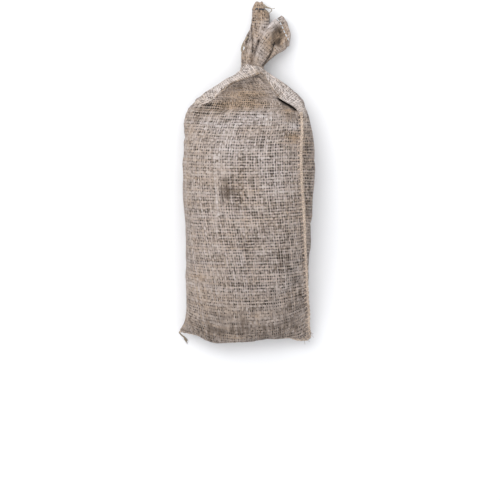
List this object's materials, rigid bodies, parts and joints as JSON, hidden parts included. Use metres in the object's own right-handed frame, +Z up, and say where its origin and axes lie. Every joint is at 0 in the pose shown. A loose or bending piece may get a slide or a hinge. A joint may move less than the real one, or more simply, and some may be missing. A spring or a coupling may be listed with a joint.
{
  "type": "hessian sack",
  "caption": "Filled hessian sack lying on its back, oversewn down one side and across the foot, its neck gathered and its mouth spread in two folded flaps.",
  "frame": {"origin": "on the flat underside that rests on the floor, under the middle of the sack's length and width", "axes": "+Z up, out of the crown; +Y along the sack from its sewn foot to its gathered mouth; +X towards the oversewn side seam"},
  "size_m": [0.2776, 0.6973, 0.1266],
  "materials": {
    "hessian": "coarse open plain weave of dry, hairy, greyish-brown jute yarn, matt",
    "jute_twine": "soft twisted jute twine, a little yellower than the cloth, matt"
  },
  "bodies": {
    "root": {"sack": "hessian", "seam_twine": "jute_twine", "chain_tail": "jute_twine"}
  },
  "joints": []
}
